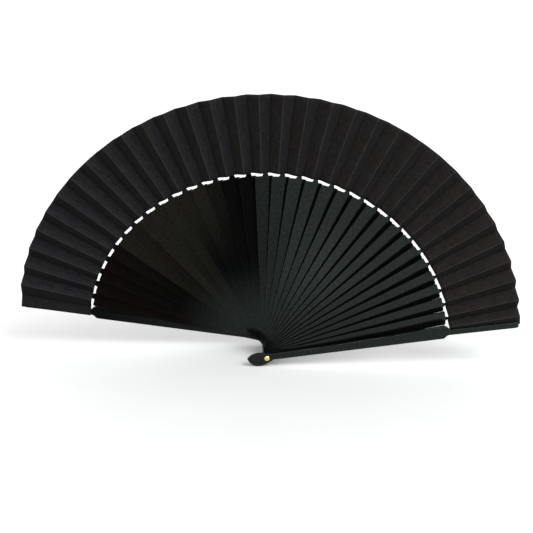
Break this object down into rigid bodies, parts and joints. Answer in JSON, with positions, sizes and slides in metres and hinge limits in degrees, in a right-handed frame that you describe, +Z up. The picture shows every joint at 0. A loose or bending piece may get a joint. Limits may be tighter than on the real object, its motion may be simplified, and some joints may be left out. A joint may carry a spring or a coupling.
{
  "type": "folding hand fan",
  "caption": "Folding hand fan: thin lacquered wooden ribs between two guards on one rivet, opening to a half circle, with a pleated fabric leaf.",
  "frame": {"origin": "on the rivet's axis, halfway through the stack of ribs", "axes": "+Y along the rivet from the front guard to the rear guard, +Z up through the middle of the open fan, +X towards the front guard"},
  "size_m": [0.4154, 0.0412, 0.2177],
  "materials": {
    "rib_lacquer": "satin black lacquer over thin wood",
    "guard_lacquer": "satin black lacquer over wood",
    "leaf_cloth": "matt black woven cloth, pleated",
    "rivet_brass": "polished brass"
  },
  "bodies": {
    "rear_guard": {"rear_guard": "guard_lacquer", "rivet_shank": "rivet_brass", "rivet_front_head": "rivet_brass", "rivet_rear_head": "rivet_brass"},
    "rib_01": {"rib_01": "rib_lacquer", "leaf_01": "leaf_cloth"},
    "rib_02": {"rib_02": "rib_lacquer"},
    "rib_03": {"rib_03": "rib_lacquer", "leaf_02": "leaf_cloth"},
    "rib_04": {"rib_04": "rib_lacquer"},
    "rib_05": {"rib_05": "rib_lacquer", "leaf_03": "leaf_cloth"},
    "rib_06": {"rib_06": "rib_lacquer"},
    "rib_07": {"rib_07": "rib_lacquer", "leaf_04": "leaf_cloth"},
    "rib_08": {"rib_08": "rib_lacquer"},
    "rib_09": {"rib_09": "rib_lacquer", "leaf_05": "leaf_cloth"},
    "rib_10": {"rib_10": "rib_lacquer"},
    "rib_11": {"rib_11": "rib_lacquer", "leaf_06": "leaf_cloth"},
    "rib_12": {"rib_12": "rib_lacquer"},
    "rib_13": {"rib_13": "rib_lacquer", "leaf_07": "leaf_cloth"},
    "rib_14": {"rib_14": "rib_lacquer"},
    "rib_15": {"rib_15": "rib_lacquer", "leaf_08": "leaf_cloth"},
    "rib_16": {"rib_16": "rib_lacquer"},
    "rib_17": {"rib_17": "rib_lacquer", "leaf_09": "leaf_cloth"},
    "rib_18": {"rib_18": "rib_lacquer"},
    "rib_19": {"rib_19": "rib_lacquer", "leaf_10": "leaf_cloth"},
    "rib_20": {"rib_20": "rib_lacquer"},
    "rib_21": {"rib_21": "rib_lacquer", "leaf_11": "leaf_cloth"},
    "rib_22": {"rib_22": "rib_lacquer"},
    "rib_23": {"rib_23": "rib_lacquer", "leaf_12": "leaf_cloth"},
    "rib_24": {"rib_24": "rib_lacquer"},
    "rib_25": {"rib_25": "rib_lacquer", "leaf_13": "leaf_cloth"},
    "rib_26": {"rib_26": "rib_lacquer"},
    "rib_27": {"rib_27": "rib_lacquer", "leaf_14": "leaf_cloth"},
    "rib_28": {"rib_28": "rib_lacquer"},
    "rib_29": {"rib_29": "rib_lacquer", "leaf_15": "leaf_cloth"},
    "rib_30": {"rib_30": "rib_lacquer"},
    "rib_31": {"rib_31": "rib_lacquer", "leaf_16": "leaf_cloth"},
    "rib_32": {"rib_32": "rib_lacquer"},
    "front_guard": {"front_guard": "guard_lacquer", "leaf_17": "leaf_cloth"}
  },
  "joints": [
    {"name": "fold_01", "type": "hinge", "parent": "rear_guard", "child": "rib_01", "pos_m": [0, 0, 0], "axis": [0, -1, 0], "range_deg": [0, 7.35], "deforming": ["leaf_01"]},
    {"name": "fold_02", "type": "hinge", "parent": "rib_01", "child": "rib_02", "pos_m": [0, 0, 0], "axis": [0, -1, 0], "range_deg": [0, 4.85]},
    {"name": "fold_03", "type": "hinge", "parent": "rib_02", "child": "rib_03", "pos_m": [0, 0, 0], "axis": [0, -1, 0], "range_deg": [0, 4.85], "deforming": ["leaf_02"]},
    {"name": "fold_04", "type": "hinge", "parent": "rib_03", "child": "rib_04", "pos_m": [0, 0, 0], "axis": [0, -1, 0], "range_deg": [0, 4.85]},
    {"name": "fold_05", "type": "hinge", "parent": "rib_04", "child": "rib_05", "pos_m": [0, 0, 0], "axis": [0, -1, 0], "range_deg": [0, 4.85], "deforming": ["leaf_03"]},
    {"name": "fold_06", "type": "hinge", "parent": "rib_05", "child": "rib_06", "pos_m": [0, 0, 0], "axis": [0, -1, 0], "range_deg": [0, 4.85]},
    {"name": "fold_07", "type": "hinge", "parent": "rib_06", "child": "rib_07", "pos_m": [0, 0, 0], "axis": [0, -1, 0], "range_deg": [0, 4.85], "deforming": ["leaf_04"]},
    {"name": "fold_08", "type": "hinge", "parent": "rib_07", "child": "rib_08", "pos_m": [0, 0, 0], "axis": [0, -1, 0], "range_deg": [0, 4.85]},
    {"name": "fold_09", "type": "hinge", "parent": "rib_08", "child": "rib_09", "pos_m": [0, 0, 0], "axis": [0, -1, 0], "range_deg": [0, 4.85], "deforming": ["leaf_05"]},
    {"name": "fold_10", "type": "hinge", "parent": "rib_09", "child": "rib_10", "pos_m": [0, 0, 0], "axis": [0, -1, 0], "range_deg": [0, 4.85]},
    {"name": "fold_11", "type": "hinge", "parent": "rib_10", "child": "rib_11", "pos_m": [0, 0, 0], "axis": [0, -1, 0], "range_deg": [0, 4.85], "deforming": ["leaf_06"]},
    {"name": "fold_12", "type": "hinge", "parent": "rib_11", "child": "rib_12", "pos_m": [0, 0, 0], "axis": [0, -1, 0], "range_deg": [0, 4.85]},
    {"name": "fold_13", "type": "hinge", "parent": "rib_12", "child": "rib_13", "pos_m": [0, 0, 0], "axis": [0, -1, 0], "range_deg": [0, 4.85], "deforming": ["leaf_07"]},
    {"name": "fold_14", "type": "hinge", "parent": "rib_13", "child": "rib_14", "pos_m": [0, 0, 0], "axis": [0, -1, 0], "range_deg": [0, 4.85]},
    {"name": "fold_15", "type": "hinge", "parent": "rib_14", "child": "rib_15", "pos_m": [0, 0, 0], "axis": [0, -1, 0], "range_deg": [0, 4.85], "deforming": ["leaf_08"]},
    {"name": "fold_16", "type": "hinge", "parent": "rib_15", "child": "rib_16", "pos_m": [0, 0, 0], "axis": [0, -1, 0], "range_deg": [0, 4.85]},
    {"name": "fold_17", "type": "hinge", "parent": "rib_16", "child": "rib_17", "pos_m": [0, 0, 0], "axis": [0, -1, 0], "range_deg": [0, 4.85], "deforming": ["leaf_09"]},
    {"name": "fold_18", "type": "hinge", "parent": "rib_17", "child": "rib_18", "pos_m": [0, 0, 0], "axis": [0, -1, 0], "range_deg": [0, 4.85]},
    {"name": "fold_19", "type": "hinge", "parent": "rib_18", "child": "rib_19", "pos_m": [0, 0, 0], "axis": [0, -1, 0], "range_deg": [0, 4.85], "deforming": ["leaf_10"]},
    {"name": "fold_20", "type": "hinge", "parent": "rib_19", "child": "rib_20", "pos_m": [0, 0, 0], "axis": [0, -1, 0], "range_deg": [0, 4.85]},
    {"name": "fold_21", "type": "hinge", "parent": "rib_20", "child": "rib_21", "pos_m": [0, 0, 0], "axis": [0, -1, 0], "range_deg": [0, 4.85], "deforming": ["leaf_11"]},
    {"name": "fold_22", "type": "hinge", "parent": "rib_21", "child": "rib_22", "pos_m": [0, 0, 0], "axis": [0, -1, 0], "range_deg": [0, 4.85]},
    {"name": "fold_23", "type": "hinge", "parent": "rib_22", "child": "rib_23", "pos_m": [0, 0, 0], "axis": [0, -1, 0], "range_deg": [0, 4.85], "deforming": ["leaf_12"]},
    {"name": "fold_24", "type": "hinge", "parent": "rib_23", "child": "rib_24", "pos_m": [0, 0, 0], "axis": [0, -1, 0], "range_deg": [0, 4.85]},
    {"name": "fold_25", "type": "hinge", "parent": "rib_24", "child": "rib_25", "pos_m": [0, 0, 0], "axis": [0, -1, 0], "range_deg": [0, 4.85], "deforming": ["leaf_13"]},
    {"name": "fold_26", "type": "hinge", "parent": "rib_25", "child": "rib_26", "pos_m": [0, 0, 0], "axis": [0, -1, 0], "range_deg": [0, 4.85]},
    {"name": "fold_27", "type": "hinge", "parent": "rib_26", "child": "rib_27", "pos_m": [0, 0, 0], "axis": [0, -1, 0], "range_deg": [0, 4.85], "deforming": ["leaf_14"]},
    {"name": "fold_28", "type": "hinge", "parent": "rib_27", "child": "rib_28", "pos_m": [0, 0, 0], "axis": [0, -1, 0], "range_deg": [0, 4.85]},
    {"name": "fold_29", "type": "hinge", "parent": "rib_28", "child": "rib_29", "pos_m": [0, 0, 0], "axis": [0, -1, 0], "range_deg": [0, 4.85], "deforming": ["leaf_15"]},
    {"name": "fold_30", "type": "hinge", "parent": "rib_29", "child": "rib_30", "pos_m": [0, 0, 0], "axis": [0, -1, 0], "range_deg": [0, 4.85]},
    {"name": "fold_31", "type": "hinge", "parent": "rib_30", "child": "rib_31", "pos_m": [0, 0, 0], "axis": [0, -1, 0], "range_deg": [0, 4.85], "deforming": ["leaf_16"]},
    {"name": "fold_32", "type": "hinge", "parent": "rib_31", "child": "rib_32", "pos_m": [0, 0, 0], "axis": [0, -1, 0], "range_deg": [0, 4.85]},
    {"name": "fold_33", "type": "hinge", "parent": "rib_32", "child": "front_guard", "pos_m": [0, 0, 0], "axis": [0, -1, 0], "range_deg": [0, 4.85], "deforming": ["leaf_17"]}
  ],
  "couplings": [
    {"joint": "fold_02", "follows": "fold_01", "ratio": 0.65986},
    {"joint": "fold_03", "follows": "fold_01", "ratio": 0.65986},
    {"joint": "fold_04", "follows": "fold_01", "ratio": 0.65986},
    {"joint": "fold_05", "follows": "fold_01", "ratio": 0.65986},
    {"joint": "fold_06", "follows": "fold_01", "ratio": 0.65986},
    {"joint": "fold_07", "follows": "fold_01", "ratio": 0.65986},
    {"joint": "fold_08", "follows": "fold_01", "ratio": 0.65986},
    {"joint": "fold_09", "follows": "fold_01", "ratio": 0.65986},
    {"joint": "fold_10", "follows": "fold_01", "ratio": 0.65986},
    {"joint": "fold_11", "follows": "fold_01", "ratio": 0.65986},
    {"joint": "fold_12", "follows": "fold_01", "ratio": 0.65986},
    {"joint": "fold_13", "follows": "fold_01", "ratio": 0.65986},
    {"joint": "fold_14", "follows": "fold_01", "ratio": 0.65986},
    {"joint": "fold_15", "follows": "fold_01", "ratio": 0.65986},
    {"joint": "fold_16", "follows": "fold_01", "ratio": 0.65986},
    {"joint": "fold_17", "follows": "fold_01", "ratio": 0.65986},
    {"joint": "fold_18", "follows": "fold_01", "ratio": 0.65986},
    {"joint": "fold_19", "follows": "fold_01", "ratio": 0.65986},
    {"joint": "fold_20", "follows": "fold_01", "ratio": 0.65986},
    {"joint": "fold_21", "follows": "fold_01", "ratio": 0.65986},
    {"joint": "fold_22", "follows": "fold_01", "ratio": 0.65986},
    {"joint": "fold_23", "follows": "fold_01", "ratio": 0.65986},
    {"joint": "fold_24", "follows": "fold_01", "ratio": 0.65986},
    {"joint": "fold_25", "follows": "fold_01", "ratio": 0.65986},
    {"joint": "fold_26", "follows": "fold_01", "ratio": 0.65986},
    {"joint": "fold_27", "follows": "fold_01", "ratio": 0.65986},
    {"joint": "fold_28", "follows": "fold_01", "ratio": 0.65986},
    {"joint": "fold_29", "follows": "fold_01", "ratio": 0.65986},
    {"joint": "fold_30", "follows": "fold_01", "ratio": 0.65986},
    {"joint": "fold_31", "follows": "fold_01", "ratio": 0.65986},
    {"joint": "fold_32", "follows": "fold_01", "ratio": 0.65986},
    {"joint": "fold_33", "follows": "fold_01", "ratio": 0.65986}
  ]
}
